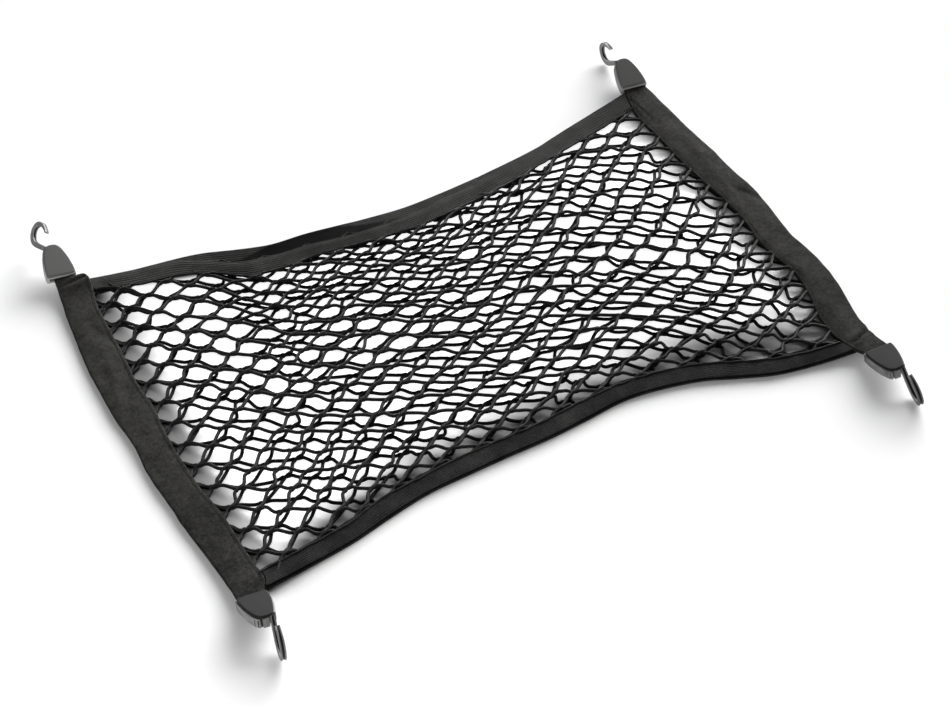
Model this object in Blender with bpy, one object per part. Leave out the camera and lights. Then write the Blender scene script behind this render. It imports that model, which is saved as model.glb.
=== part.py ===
"""A flat double-layer cargo net, spread out on the floor.

Two layers of knotted elastic cord lie on each other and make a pocket that is
open at the back. A folded tape binds the short sides, ribbed elastic tapes
bind the long edges, and a moulded clip with a hook ends each side tape.

Lengths in the tables are millimetres. X runs along the long edges, Y towards
the back, Z up from the floor.
"""

import math

import bmesh
import bpy
import numpy as np
from mathutils import Matrix, Vector

MM = 0.001
FIT_GAP = 0.3  # between two pieces that touch
SEW_GAP = 0.6  # between the curved edges of two pieces that are sewn together

# ---------------------------------------------------------------- driving sizes

TAPE_THICK = 5.0  # side tape, folded round both net layers
TAPE_CROWN = 0.8
TAPE_END_THICK = 4.0  # pressed flat inside a clip
ELASTIC_THICK = 2.4
ELASTIC_CROWN = 0.1
ELASTIC_WIDTH = 24.0
LAYER_RISE = ELASTIC_THICK + ELASTIC_CROWN + FIT_GAP  # upper elastic above the lower

NET_COLUMNS = 9
NET_ROWS = 7
NET_THICK = 2.0
CORD_SHARE = 0.1  # half the strand's width at a crossing, as a share of half a mesh
SELVEDGE = 5.0
RIM_PARTS = 4  # the net's outer edge has this many steps for each half mesh
NET_LOW_EDGE = 1.2  # middle of the lower sheet above the floor, at its edge and inside
NET_LOW_MIDDLE = 1.7
NET_HIGH_EDGE = 4.3
NET_HIGH_MIDDLE = 6.3
NET_RIPPLE = 0.4
NET_SWELL = (18.0, 70.0)  # distances from an edge between which the sheet rises
MESH_JITTER = 0.13  # unevenness of the crossings, in half meshes

CLIP_LENGTH = 44.0
MOUTH_HALF_WIDTH = 13.6
MOUTH_HEIGHT = 4.6
MOUTH_DEPTH = 7.0
TAPE_DEPTH = 6.0  # how far the tape runs into the mouth
TAPE_LIP = 1.5  # how far outside the mouth it is still pressed flat
HOOK_WIDTH = 5.0
HOOK_ROOT = (-6.0, 42.0, 1.2)  # right, outward and up, in the clip's own frame
CORNER_REACH = 90.0  # how far from a clip the cloth is lifted

# Edges of the side tapes, from the back to the front.
LEFT_TAPE = {
    "y": (247, 226, 200, 160, 115, 70, 28, -15, -60, -105, -145, -185, -215, -243),
    "outer": (-366, -368, -371, -374, -377, -377, -376, -372, -373, -369, -366, -361, -358, -356),
    "inner": (-330, -331, -335, -336, -336, -338, -335, -337, -336, -333, -327, -325, -324, -322),
}
RIGHT_TAPE = {
    "y": (238, 205, 160, 112, 70, 25, -15, -55, -88, -115, -150, -180, -210, -240),
    "outer": (375, 377, 379, 382, 383, 386, 384, 380, 382, 383, 380, 374, 368, 365),
    "inner": (342, 337, 339, 339, 342, 346, 346, 342, 344, 348, 343, 334, 329, 331),
}

# Edges of the elastic pairs, from left to right: the lower one's outer edge,
# the upper one's outer and inner edges, and how far the upper one's outer edge
# stands up from the lower one.
BACK_ELASTIC = {
    "x": (-328, -285, -240, -205, -170, -130, -90, -50, -10, 30, 75, 120, 165, 205, 250, 290, 332),
    "outer": (245, 240, 235, 226, 216, 205, 203, 198, 193, 190, 191, 196, 202, 210, 223, 236, 249),
    "split": (243, 238, 229, 215, 199, 189, 183, 180, 176, 174, 178, 184, 193, 204, 219, 234, 248),
    "inner": (226, 214, 202, 187, 173, 166, 163, 160, 154, 152, 156, 162, 171, 183, 196, 207, 221),
    "stand": (0, 0, 1, 3, 5, 6, 5, 3, 1, 0, 0, 0, 0, 0, 0, 0, 0),
}
FRONT_ELASTIC = {
    "x": (-318, -275, -225, -180, -135, -90, -45, 0, 45, 90, 130, 175, 210, 245, 285, 325),
    "outer": (-253, -247, -240, -230, -218, -215, -211, -210, -205, -199, -202, -209, -224, -241, -250, -258),
    "split": (-251, -245, -238, -228, -216, -213, -209, -208, -203, -197, -200, -207, -221, -239, -247, -253),
    "inner": (-234, -226, -220, -206, -198, -192, -190, -188, -181, -178, -181, -187, -201, -220, -231, -238),
    "stand": (0, 0, 0, 0, 0, 0, 0, 0, 0, 0, 0, 0, 0, 0, 0, 0),
}

# Section of every flat band, from its outer edge (0) to its inner edge (1).
BAND_SECTION = {
    "across": (0.04, 0.35, 0.65, 0.96, 1, 1, 0.97, 0.65, 0.35, 0.03, 0, 0),
    "height": (0, 0, 0, 0, 0.3, 0.72, 1, 1, 1, 1, 0.72, 0.3),
}
BAND_CAP = ((0, 1, 8, 9), (1, 2, 7, 8), (2, 3, 6, 7), (3, 4, 5, 6), (9, 10, 11, 0))

# Where each clip lies: the middle of its back edge, its heading, how it is
# pitched and rolled, the part of its mouth that the tape fills (outer and inner
# edge, to the clip's right), how far the tape's inner edge curls up beside it,
# and how its hook is turned about the root.
CLIPS = {
    "left_back": {
        "at": (-356, 258, 8.6), "facing": -3, "pitch": 16, "roll": 8,
        "tape": (-8.5, 13.3), "curl": 4, "hook": {"yaw": -14, "droop": 37, "roll": 40},
    },
    "right_back": {
        "at": (360, 253, 6.9), "facing": -6, "pitch": 16, "roll": 0,
        "tape": (13.3, -13.3), "curl": 0, "hook": {"yaw": -5, "droop": 49.5, "roll": 6},
    },
    "right_front": {
        "at": (352, -265.5, 10.5), "facing": 174, "pitch": 9, "roll": 6,
        "tape": (-13.3, 13.3), "curl": 0, "hook": {"yaw": 2, "droop": 44, "roll": 6},
    },
    "left_front": {
        "at": (-343, -261.5, 8.2), "facing": 180, "pitch": 16, "roll": -5,
        "tape": (13.3, -13.3), "curl": 0, "hook": {"yaw": 10, "droop": 53, "roll": -4},
    },
}

# Plan of a clip: half width at each distance from its back edge.
CLIP_PLAN = {
    "along": (0, 1, 5, 12, 22, 30, 36, 40, 43, 44),
    "half": (15.4, 16.2, 16.6, 16.2, 14.8, 13.0, 11.2, 9.4, 6.6, 3.0),
}
# Rounding of the body and of the lid: how far the plan is drawn in at each height.
BODY_LEVELS = {"up": (-6.5, -5.9, -4.6, 2.6, 4.0), "inset": (1.6, 0.6, 0.0, 0.0, 0.5)}
LID_LEVELS = {"up": (4.3, 5.9, 6.5), "inset": (1.4, 1.4, 2.0)}

# Centre line of the hook from its root (along the shank, and towards the free
# leg), with the thickness at each point.
HOOK_LINE = {
    "along": (-2, 7, 16, 23, 29, 34, 37, 38, 36.5, 33, 28, 22, 15, 9),
    "side": (0, 0, 0, 0.4, 2, 5.5, 10, 14.5, 19, 22, 23.4, 23, 20.5, 17),
    "thick": (5.5, 5.5, 5.5, 5.5, 5.5, 5.5, 5.5, 5.5, 5.5, 5.2, 4.8, 4.2, 3.2, 2.0),
}
HOOK_RAIL = 1.35  # width of the rail along each side
HOOK_GROOVE = 1.0
GROOVE_SHARE = 0.22  # the groove takes at most this share of a thin end

# Slots through the nose, in the clip's own frame: low corner and high corner.
HOOK_SLOT = ((-12.0, 38.0, -8.0), (-2.2, 46.0, 5.0))
SIDE_SLOT = ((3.6, 40.0, -8.0), (6.4, 46.0, 5.0))

# ---------------------------------------------------------------- helpers


def clear_scene():
    for obj in list(bpy.data.objects):
        bpy.data.objects.remove(obj, do_unlink=True)


def make_material(name, colour, roughness):
    material = bpy.data.materials.new(name)
    material.use_nodes = True
    shader = material.node_tree.nodes["Principled BSDF"]
    shader.inputs["Base Color"].default_value = (*colour, 1.0)
    shader.inputs["Roughness"].default_value = roughness
    shader.inputs["Metallic"].default_value = 0.0
    return material


def add_object(name, mesh, material, parent, matrix=None):
    """Link a mesh as one named piece under its parent."""
    if not mesh.materials:
        mesh.materials.append(material)
    obj = bpy.data.objects.new(name, mesh)
    bpy.context.scene.collection.objects.link(obj)
    obj.parent = parent
    if matrix is not None:
        obj.matrix_local = matrix
    return obj


def add_empty(name, parent=None, matrix=None):
    empty = bpy.data.objects.new(name, None)
    bpy.context.scene.collection.objects.link(empty)
    empty.parent = parent
    if matrix is not None:
        empty.matrix_local = matrix
    return empty


def mesh_from(name, points, faces, smooth_angle=40.0):
    mesh = bpy.data.meshes.new(name)
    mesh.from_pydata([tuple(p * MM for p in point) for point in points], [], faces)
    model = bmesh.new()
    model.from_mesh(mesh)
    bmesh.ops.recalc_face_normals(model, faces=model.faces)
    model.to_mesh(mesh)
    model.free()
    mesh.shade_smooth()
    mesh.set_sharp_from_angle(angle=math.radians(smooth_angle))
    return mesh


def loft(rings, cap=None):
    """Points and faces of the closed body through a row of equal rings."""
    size = len(rings[0])
    points = [point for ring in rings for point in ring]
    last = len(points) - size
    faces = []
    for face in cap or [tuple(range(size))]:
        faces += [face, tuple(index + last for index in face)]
    for row in range(len(rings) - 1):
        for step in range(size):
            after = (step + 1) % size
            low, high = row * size, (row + 1) * size
            faces.append((low + step, low + after, high + after, high + step))
    return points, faces


def smooth_rows(rows, steps):
    """The rows with more rows between them, on a Catmull-Rom curve."""
    rows = np.array(rows, float)
    padded = np.vstack([2 * rows[0] - rows[1], rows, 2 * rows[-1] - rows[-2]])
    found = []
    for a, b, c, d in zip(padded, padded[1:], padded[2:], padded[3:]):
        for step in range(steps):
            t = step / steps
            slope_b, slope_c = (c - a) / 2, (d - b) / 2
            found.append(
                (2 * t**3 - 3 * t**2 + 1) * b + (t**3 - 2 * t**2 + t) * slope_b
                + (3 * t**2 - 2 * t**3) * c + (t**3 - t**2) * slope_c
            )
    return np.array(found + [rows[-1]])


def band_ring(base, up, thick, crown):
    """Twelve points round a flat band with rounded edges and a slightly domed top.

    base gives the underside's place at a share of the way across.
    """
    up = Vector(up)
    ring = []
    for across, height in zip(BAND_SECTION["across"], BAND_SECTION["height"]):
        dome = crown * math.sin(math.pi * across) if height == 1 else 0.0
        ring.append(Vector(base(across)) + up * (height * thick + dome))
    return ring


def ease(value, low, high):
    t = min(max((value - low) / (high - low), 0.0), 1.0)
    return t * t * (3 - 2 * t)


# ---------------------------------------------------------------- where things lie


def clip_matrix(clip):
    """Right, outward and up axes of a clip, at the middle of its back edge."""
    turn = Matrix.Rotation(math.radians(clip["facing"]), 4, "Z")
    turn @= Matrix.Rotation(math.radians(clip["pitch"]), 4, "X")
    turn @= Matrix.Rotation(math.radians(clip["roll"]), 4, "Y")
    return Matrix.Translation(Vector(clip["at"])) @ turn


def hook_matrix(clip):
    """Shank, free-leg and width axes of a hook, at its root in the clip's frame."""
    turn = clip["hook"]
    axes = Matrix(((0, 0, 1, 0), (1, 0, 0, 0), (0, 1, 0, 0), (0, 0, 0, 1)))
    yaw = Matrix.Rotation(math.radians(-turn["yaw"]), 4, "Z")
    droop = Matrix.Rotation(math.radians(-turn["droop"]), 4, "Z")
    roll = Matrix.Rotation(math.radians(turn["roll"]), 4, "X")
    return Matrix.Translation(Vector(HOOK_ROOT)) @ yaw @ axes @ droop @ roll


def in_metres(matrix):
    scaled = matrix.copy()
    scaled.translation = matrix.translation * MM
    return scaled


def cloth_lift(x, y):
    """Height of the cloth's underside: on the floor, but drawn up to each clip."""
    lift = 0.0
    for clip in CLIPS.values():
        away = math.hypot(x - clip["at"][0], y - clip["at"][1]) / CORNER_REACH
        top = clip["at"][2] - TAPE_END_THICK / 2
        lift += top * max(0.0, 1 - away) ** 2
    return lift


# ---------------------------------------------------------------- side tapes


def tape_end(clip, depth):
    """The tape's ring at a depth inside the clip's mouth."""
    matrix = clip_matrix(clip)
    outer, inner = (
        matrix @ Vector((edge, depth, -TAPE_END_THICK / 2)) for edge in clip["tape"]
    )
    return outer, inner, matrix.to_3x3() @ Vector((0, 0, 1))


def tape_stations(table, back, front):
    """Rows of outer and inner edge, thickness and crown from one mouth to the other."""
    rows = []
    for y, outer, inner in zip(table["y"], table["outer"], table["inner"]):
        edges = (outer, y, cloth_lift(outer, y), inner, y, cloth_lift(inner, y))
        rows.append((*edges, TAPE_THICK, TAPE_CROWN))
    for clip, index in ((back, 0), (front, len(rows) + 1)):
        outer, inner, _ = tape_end(clip, -TAPE_LIP)
        rows.insert(index, (*outer, *inner, TAPE_END_THICK, 0.0))
    rows[1] = (*rows[1][:5], rows[1][5] + back["curl"], *rows[1][6:])
    stations = smooth_rows(rows, 2)
    stations[:, 2::3] = np.maximum(stations[:, 2::3], 0.0)
    return stations


def side_tape(name, table, back, front, material, parent):
    stations = tape_stations(table, back, front)
    rings = []
    for row in stations:
        outer, inner = Vector(row[:3]), Vector(row[3:6])
        rings.append(band_ring(lambda across: outer.lerp(inner, across), (0, 0, 1), row[6], row[7]))
    for clip, index in ((back, 0), (front, len(rings) + 1)):
        for depth in (-TAPE_LIP, TAPE_DEPTH):
            outer, inner, up = tape_end(clip, depth)
            ring = band_ring(lambda across: outer.lerp(inner, across), up, TAPE_END_THICK, 0.0)
            if depth < 0:
                rings[min(index, len(rings) - 1)] = ring
            else:
                rings.insert(index, ring)
    points, faces = loft(rings, BAND_CAP)
    add_object(name, mesh_from(name, points, faces), material, parent)
    order = np.argsort(stations[:, 4])
    return stations[order, 4], stations[order, 3]


# ---------------------------------------------------------------- elastic tapes


def elastic_tape(name, table, upper, left, right, material, parent):
    """One elastic tape; returns its inner edge for the net that it carries."""
    inward = -1 if table["outer"][0] > 0 else 1
    first, last = table["x"][0], table["x"][-1]
    rows = []
    columns = (table[key] for key in ("x", "outer", "split", "inner", "stand"))
    for x, outer, split, inner, stand in zip(*columns):
        if upper:
            rows.append((x, split, inner, stand))
        else:
            rows.append((x, outer, outer + inward * ELASTIC_WIDTH, 0.0))
    rings, edge = [], []
    for x, outer, inner, stand in smooth_rows(rows, 2):
        along = (x - first) / (last - first)

        def base(across):
            y = outer + across * (inner - outer)
            low, high = np.interp(y, *left) + SEW_GAP, np.interp(y, *right) - SEW_GAP
            place = low + along * (high - low)
            rise = stand * (1 - across) + (LAYER_RISE if upper else 0.0)
            return place, y, cloth_lift(place, y) + rise

        rings.append(band_ring(base, (0, 0, 1), ELASTIC_THICK, ELASTIC_CROWN))
        edge.append(base(1)[:2])
    points, faces = loft(rings, BAND_CAP)
    add_object(name, mesh_from(name, points, faces), material, parent)
    edge = np.array(edge)
    return edge[:, 0], edge[:, 1]


# ---------------------------------------------------------------- net panels


def selvedge_walk():
    """Pairs of places, inside and outside, once round the strip that edges the net."""
    wide, high = 2 * NET_COLUMNS, 2 * NET_ROWS
    cord = CORD_SHARE
    half = [((0, 0), (0, -1))]
    for i in range(0, wide, 2):
        half += [((i + cord, 0), (i + cord, -1)), ((i + 2 - cord, 0), (i + 2 - cord, -1))]
    half += [((wide, 0), (wide, -1)), ((wide, 0), (wide + 1, -1)), ((wide, 0), (wide + 1, 0))]
    for j in range(0, high, 2):
        for place in (j + cord, j + 2 - cord):
            half.append(((wide, place), (wide + 1, place)))
    half += [((wide, high), (wide + 1, high)), ((wide, high), (wide + 1, high + 1))]
    turned = [tuple((wide - i, high - j) for i, j in pair) for pair in half]
    return half + turned


def net_lattice():
    """Flat net on a grid where a crossing stands on each even square.

    Returns the corners as grid places and the faces: a small diamond for each
    crossing, a strip for each strand, and a selvedge round the outside.
    """
    wide, high = 2 * NET_COLUMNS, 2 * NET_ROWS
    cord = CORD_SHARE
    corners, faces = {}, []

    def corner(i, j):
        return corners.setdefault((round(i, 4), round(j, 4)), len(corners))

    for i in range(wide + 1):
        for j in range(i % 2, high + 1, 2):
            sides = [(i + cord, j), (i, j + cord), (i - cord, j), (i, j - cord)]
            kept = [s for s in sides if 0 <= s[0] <= wide and 0 <= s[1] <= high]
            if len(kept) == 2:
                kept.append((i, j))
            faces.append(tuple(corner(*s) for s in kept))
            for step in (1, -1):
                if i < wide and 0 <= j + step <= high:
                    strand = (
                        (i + cord, j), (i + 1, j + step * (1 - cord)),
                        (i + 1 - cord, j + step), (i, j + step * cord),
                    )
                    faces.append(tuple(corner(*s) for s in strand))
    walk = selvedge_walk()
    for (a, b), (c, d) in zip(walk, walk[1:] + walk[:1]):
        parts = RIM_PARTS if math.dist(b, d) > 1 else 1
        outside = [tuple(p + (q - p) * n / parts for p, q in zip(b, d)) for n in range(parts + 1)]
        face = [corner(*place) for place in (a, *outside, c)]
        faces.append(tuple(dict.fromkeys(face)))
    return corners, faces


def net_panel(name, edges, heights, drift, material, parent):
    """One net layer between its four edges (left, right, front and back)."""
    left, right, front, back = edges
    wide, high = 2 * NET_COLUMNS, 2 * NET_ROWS
    corners, faces = net_lattice()
    points = []
    for i, j in corners:
        u, v = min(max(i / wide, 0.0), 1.0), min(max(j / high, 0.0), 1.0)
        inside = min(1.0, 4 * math.sin(math.pi * u) * math.sin(math.pi * v))
        jitter_u = MESH_JITTER * math.sin(1.9 * round(i) + 2.7 * round(j))
        jitter_v = MESH_JITTER * math.sin(2.3 * round(j) - 1.4 * round(i))
        v += inside * (jitter_v - drift * (0.1 + 0.3 * u)) / high
        u += inside * (jitter_u + drift * (0.1 + 0.4 * u)) / wide
        x, y = 0.0, 0.0
        for _ in range(12):
            west, east = np.interp(y, *left) + SEW_GAP, np.interp(y, *right) - SEW_GAP
            south, north = np.interp(x, *front) + SEW_GAP, np.interp(x, *back) - SEW_GAP
            x = west + u * (east - west) + (SELVEDGE * (1 - 2 * u) if 0 <= i <= wide else 0.0)
            y = south + v * (north - south) + (SELVEDGE * (1 - 2 * v) if 0 <= j <= high else 0.0)
        near = min(min(u, 1 - u) * (east - west), min(v, 1 - v) * (north - south))
        swell = ease(near, *NET_SWELL)
        level = heights[0] + (heights[1] - heights[0]) * swell
        ripple = NET_RIPPLE * swell * math.sin(x / 47 + 1) * math.sin(y / 38)
        points.append((x, y, cloth_lift(x, y) + level + ripple))
    obj = add_object(name, mesh_from(name, points, faces), material, parent)
    thick = obj.modifiers.new("cord thickness", "SOLIDIFY")
    thick.thickness = NET_THICK * MM
    thick.offset = 0.0
    return obj


# ---------------------------------------------------------------- clips and hooks


def plan_ring(inset, up):
    """The clip's plan, drawn in all round by inset, at one height."""
    ring = []
    shrink = (CLIP_LENGTH - 2 * inset) / CLIP_LENGTH
    plan = list(zip(CLIP_PLAN["along"], CLIP_PLAN["half"]))
    for along, half in plan:
        ring.append((max(half - inset, 1.0), inset + along * shrink, up))
    for along, half in reversed(plan):
        ring.append((-max(half - inset, 1.0), inset + along * shrink, up))
    return ring


def cut_box(target, name, low, high):
    """Cut a box out of a piece that is still in the clip's own frame."""
    points = [
        (x, y, z) for x in (low[0], high[0]) for y in (low[1], high[1]) for z in (low[2], high[2])
    ]
    faces = [(0, 1, 3, 2), (4, 6, 7, 5), (0, 4, 5, 1), (2, 3, 7, 6), (0, 2, 6, 4), (1, 5, 7, 3)]
    cutter = bpy.data.objects.new(name, mesh_from(name, points, faces))
    bpy.context.scene.collection.objects.link(cutter)
    cutter.hide_render = True
    cutter.display_type = "WIRE"
    cut = target.modifiers.new(name, "BOOLEAN")
    cut.operation = "DIFFERENCE"
    cut.solver = "EXACT"
    cut.object = cutter
    return cutter


def body_mesh():
    """The clip's body, with the mouth for the tape and the slots in its nose."""
    rings = [plan_ring(inset, up) for up, inset in zip(BODY_LEVELS["up"], BODY_LEVELS["inset"])]
    blank = bpy.data.objects.new("clip_blank", mesh_from("clip_blank", *loft(rings)))
    bpy.context.scene.collection.objects.link(blank)
    wide, high = MOUTH_HALF_WIDTH, MOUTH_HEIGHT / 2
    cutters = (
        cut_box(blank, "mouth", (-wide, -2, -high), (wide, MOUTH_DEPTH, high)),
        cut_box(blank, "hook_slot", *HOOK_SLOT),
        cut_box(blank, "side_slot", *SIDE_SLOT),
    )
    bpy.context.view_layer.update()
    graph = bpy.context.evaluated_depsgraph_get()
    mesh = bpy.data.meshes.new_from_object(blank.evaluated_get(graph))
    mesh.name = "clip_body"
    for helper in (blank, *cutters):
        bpy.data.objects.remove(helper, do_unlink=True)
    mesh.materials.clear()
    return mesh


def lid_mesh():
    rings = [plan_ring(inset, up) for up, inset in zip(LID_LEVELS["up"], LID_LEVELS["inset"])]
    return mesh_from("clip_lid", *loft(rings))


def hook_ring(centre, normal, thick):
    """Twelve points of the hook's section: a rail on each side of a sunken web."""
    half, width = thick / 2, HOOK_WIDTH / 2
    web = width - HOOK_RAIL
    deep = half - min(HOOK_GROOVE, GROOVE_SHARE * thick)
    shape = (
        (-half, -width), (-half, -web), (-deep, -web), (-deep, web), (-half, web), (-half, width),
        (half, width), (half, web), (deep, web), (deep, -web), (half, -web), (half, -width),
    )
    return [(centre[0] + normal[0] * a, centre[1] + normal[1] * a, b) for a, b in shape]


def hook_mesh():
    rows = list(zip(HOOK_LINE["along"], HOOK_LINE["side"], HOOK_LINE["thick"]))
    rows = np.vstack([rows[:2], smooth_rows(rows[2:], 2)])
    slopes = np.gradient(rows[:, :2], axis=0)
    rings = []
    for (along, side, thick), (run, rise) in zip(rows, slopes):
        length = math.hypot(run, rise)
        rings.append(hook_ring((along, side), (-rise / length, run / length), thick))
    return mesh_from("hook", *loft(rings), smooth_angle=30.0)


def clips_and_hooks(materials, parent):
    body, lid, hook = body_mesh(), lid_mesh(), hook_mesh()
    for corner, clip in CLIPS.items():
        seat = add_empty(f"seat_{corner}", parent, in_metres(clip_matrix(clip)))
        add_object(f"clip_base_{corner}", body, materials["body"], seat)
        add_object(f"clip_lid_{corner}", lid, materials["lid"], seat)
        add_object(f"hook_{corner}", hook, materials["hook"], seat, in_metres(hook_matrix(clip)))


# ---------------------------------------------------------------- assembly


def stand_on_origin(root):
    """Move the whole net so that its box stands on the origin, centred."""
    bpy.context.view_layer.update()
    graph = bpy.context.evaluated_depsgraph_get()
    corners = []
    for obj in bpy.context.scene.objects:
        if obj.type == "MESH":
            solid = obj.evaluated_get(graph)
            corners += [obj.matrix_world @ vertex.co for vertex in solid.data.vertices]
    corners = np.array(corners)
    low, high = corners.min(axis=0), corners.max(axis=0)
    root.location = (-(low[0] + high[0]) / 2, -(low[1] + high[1]) / 2, -low[2])


def main():
    clear_scene()
    materials = {
        "cord": make_material("elastic cord", (0.018, 0.018, 0.02), 0.7),
        "tape": make_material("side tape", (0.03, 0.03, 0.029), 0.9),
        "elastic": make_material("ribbed elastic", (0.026, 0.026, 0.026), 0.85),
        "body": make_material("clip body plastic", (0.12, 0.12, 0.12), 0.5),
        "lid": make_material("clip lid plastic", (0.07, 0.07, 0.07), 0.55),
        "hook": make_material("hook plastic", (0.14, 0.14, 0.14), 0.45),
    }
    root = add_empty("cargo_net")
    clips_and_hooks(materials, root)
    left = side_tape(
        "side_band_left", LEFT_TAPE, CLIPS["left_back"], CLIPS["left_front"], materials["tape"], root
    )
    right = side_tape(
        "side_band_right", RIGHT_TAPE, CLIPS["right_back"], CLIPS["right_front"], materials["tape"], root
    )
    layers = (
        ("lower", False, (NET_LOW_EDGE, NET_LOW_MIDDLE), 1.0),
        ("upper", True, (NET_HIGH_EDGE, NET_HIGH_MIDDLE), 0.0),
    )
    for layer, upper, heights, drift in layers:
        back = elastic_tape(
            f"elastic_back_{layer}", BACK_ELASTIC, upper, left, right, materials["elastic"], root
        )
        front = elastic_tape(
            f"elastic_front_{layer}", FRONT_ELASTIC, upper, left, right, materials["elastic"], root
        )
        net_panel(f"net_{layer}", (left, right, front, back), heights, drift, materials["cord"], root)
    stand_on_origin(root)


main()
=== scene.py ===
# A flat double-layer cargo net on a pale floor. Lengths in the tables are millimetres,
# X along the long edges, Y towards the back. Each piece follows its solid in the frame.
import math

import bmesh
import bpy
import numpy as np
from mathutils import Matrix, Vector
from mathutils.noise import noise


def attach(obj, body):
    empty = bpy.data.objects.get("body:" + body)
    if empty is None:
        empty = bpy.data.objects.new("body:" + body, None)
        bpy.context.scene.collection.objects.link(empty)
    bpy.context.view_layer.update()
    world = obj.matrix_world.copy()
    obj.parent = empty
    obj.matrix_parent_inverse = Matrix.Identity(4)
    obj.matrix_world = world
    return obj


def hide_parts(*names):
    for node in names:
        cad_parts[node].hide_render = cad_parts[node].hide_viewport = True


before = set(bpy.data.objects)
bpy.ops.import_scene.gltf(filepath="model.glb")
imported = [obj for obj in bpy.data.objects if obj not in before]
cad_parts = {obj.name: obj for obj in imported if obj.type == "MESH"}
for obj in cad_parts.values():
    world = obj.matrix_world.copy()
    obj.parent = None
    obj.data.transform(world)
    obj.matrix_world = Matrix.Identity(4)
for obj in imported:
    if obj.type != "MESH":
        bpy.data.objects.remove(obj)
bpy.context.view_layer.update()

mm = 0.001
shift = np.array((-4.375, 4.249, 0.0))  # from the tables to the frame's origin

# where the cloth lies: tapes from back to front, elastics from left to right
leftTapeRows = {
    "y": (247, 226, 200, 160, 115, 70, 28, -15, -60, -105, -145, -185, -215, -243),
    "outer": (-366, -368, -371, -374, -377, -377, -376, -372, -373, -369, -366, -361, -358, -356),
    "inner": (-330, -331, -335, -336, -336, -338, -335, -337, -336, -333, -327, -325, -324, -322),
}
rightTapeRows = {
    "y": (238, 205, 160, 112, 70, 25, -15, -55, -88, -115, -150, -180, -210, -240),
    "outer": (375, 377, 379, 382, 383, 386, 384, 380, 382, 383, 380, 374, 368, 365),
    "inner": (342, 337, 339, 339, 342, 346, 346, 342, 344, 348, 343, 334, 329, 331),
}
backElasticRows = {  # split is the upper elastic's outer edge, the stands are how far outer edges rise
    "x": (-328, -285, -240, -205, -170, -130, -90, -50, -10, 30, 75, 120, 165, 205, 250, 290, 332),
    "outer": (246, 241, 236, 229, 216, 204, 202, 198, 194, 192, 195, 200, 207, 215, 228, 240, 251),
    "split": (244, 238, 231, 214, 192, 183, 180, 175, 173, 175, 182, 190, 200, 212, 227, 239, 250),
    "inner": (227, 213, 205, 192, 168, 161, 162, 158, 154, 153, 158, 165, 174, 187, 199, 210, 223),
    "stand": (0, 0, 0, 0.5, 1, 1.5, 1.5, 1, 0.5, 0, 0, 0, 0, 0, 0, 0, 0),
    "lowStand": (0, 0, 0, 1, 2, 2.5, 2.5, 1.5, 0.5, 0, 0, 0, 0, 0, 0, 0, 0),
}
frontElasticRows = {
    "x": (-318, -275, -225, -180, -135, -90, -45, 0, 45, 90, 130, 175, 210, 245, 285, 325),
    "outer": (-256, -247, -238, -226, -216, -212, -209, -207, -202, -196, -199, -209, -224, -238, -246, -253),
    "split": (-254, -245, -236, -224, -214, -210, -207, -205, -200, -194, -197, -207, -221, -236, -244, -250),
    "inner": (-235, -226, -218, -203, -196, -190, -188, -186, -180, -176, -178, -187, -201, -217, -228, -235),
    "stand": (0,) * 16,
    "lowStand": (0,) * 16,
}
cornerClips = {  # tape is where the tape's outer and inner edge enter the mouth
    "left_back": {"at": (-356, 258, 8.6), "facing": -3, "pitch": 16, "roll": 8, "tape": (-8.5, 13.3),
                  "curl": 4, "hook": {"yaw": -14, "droop": 37, "roll": 40}},
    "right_back": {"at": (360, 253, 6.9), "facing": -6, "pitch": 16, "roll": 0, "tape": (13.3, -13.3),
                   "curl": 0, "hook": {"yaw": -5, "droop": 49.5, "roll": 6}},
    "right_front": {"at": (352, -265.5, 10.5), "facing": 174, "pitch": 9, "roll": 6, "tape": (-13.3, 13.3),
                    "curl": 0, "hook": {"yaw": 2, "droop": 44, "roll": 6}},
    "left_front": {"at": (-343, -261.5, 8.2), "facing": 180, "pitch": 16, "roll": -5, "tape": (13.3, -13.3),
                   "curl": 0, "hook": {"yaw": 10, "droop": 53, "roll": -4}},
}
cloth = {"sewGap": 0.6, "cornerReach": 90.0, "endThick": 4.0, "lip": 1.5, "depth": 6.0, "sharp": 50.0}


class Wire:  # a socket that takes part in plain sums
    def __init__(self, nodes, socket):
        self.nodes, self.socket = nodes, socket

    def maths(self, operation, *others, reflected=False):
        values = [self, *others]
        if reflected:
            values.reverse()
        return self.nodes.node("Math", {"operation": operation}, dict(enumerate(values)))

    def __add__(self, other):
        return self.maths("ADD", other)

    def __sub__(self, other):
        return self.maths("SUBTRACT", other)

    def __rsub__(self, other):
        return self.maths("SUBTRACT", other, reflected=True)

    def __mul__(self, other):
        return self.maths("MULTIPLY", other)

    def __truediv__(self, other):
        return self.maths("DIVIDE", other)

    def __rtruediv__(self, other):
        return self.maths("DIVIDE", other, reflected=True)

    def __gt__(self, other):
        return self.maths("GREATER_THAN", other)

    def __lt__(self, other):
        return self.maths("LESS_THAN", other)

    __radd__, __rmul__ = __add__, __mul__

    def sine(self):
        return self.maths("SINE")

    def size(self):
        return self.maths("ABSOLUTE")


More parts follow.
